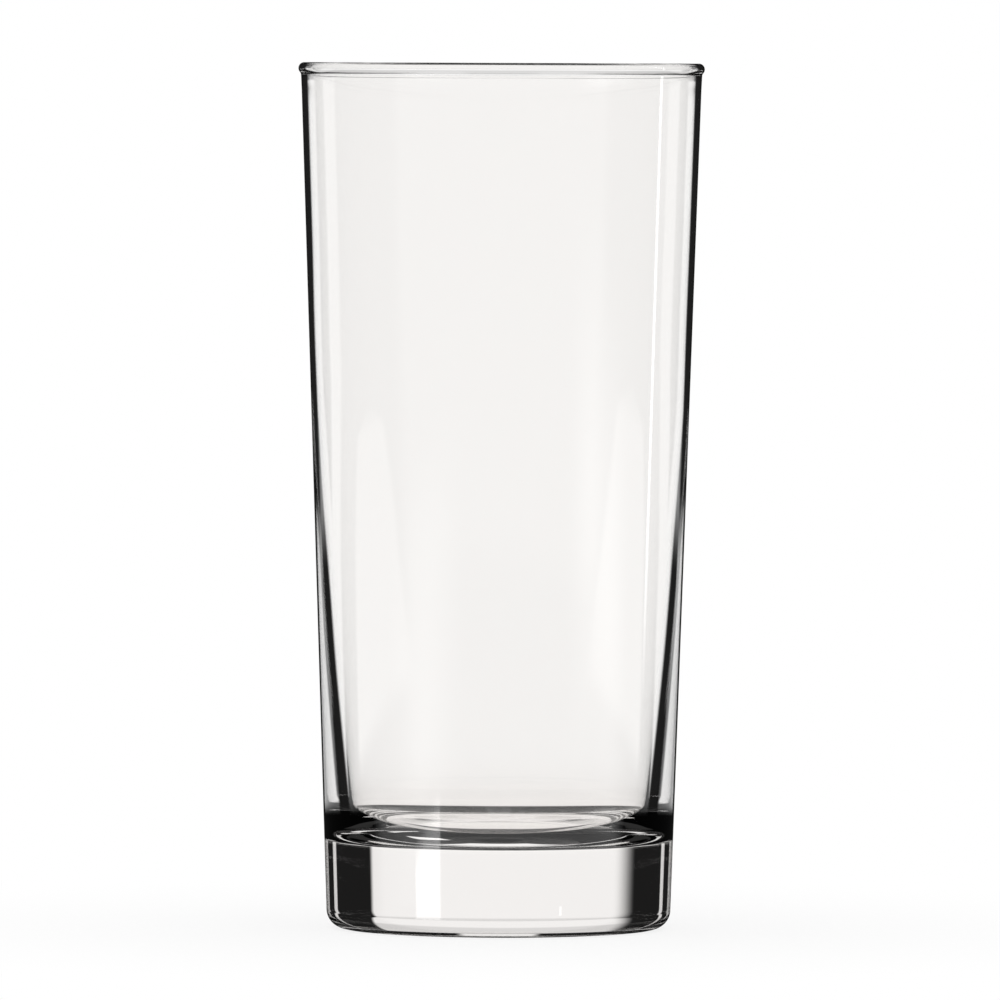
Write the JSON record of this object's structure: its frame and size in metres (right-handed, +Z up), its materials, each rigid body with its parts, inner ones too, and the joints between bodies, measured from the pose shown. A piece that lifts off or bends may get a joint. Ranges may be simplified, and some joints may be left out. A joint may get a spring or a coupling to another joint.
{
  "type": "cooler glass",
  "caption": "Tall clear round drinking glass with a beaded rim, a tapering wall that thickens downwards and a heavy solid base.",
  "frame": {"origin": "centre of the underside, on the plane of the bearing ring that the glass stands on", "axes": "+Z up along the glass's axis of revolution, through the mouth; +X to the right and -Y towards the viewer in the picture"},
  "size_m": [0.076, 0.076, 0.162],
  "materials": {
    "clear_glass": "fire-polished, clear, very faintly warm grey"
  },
  "bodies": {
    "root": {"rim_bead": "clear_glass", "side_wall": "clear_glass", "heavy_base": "clear_glass"}
  },
  "joints": []
}
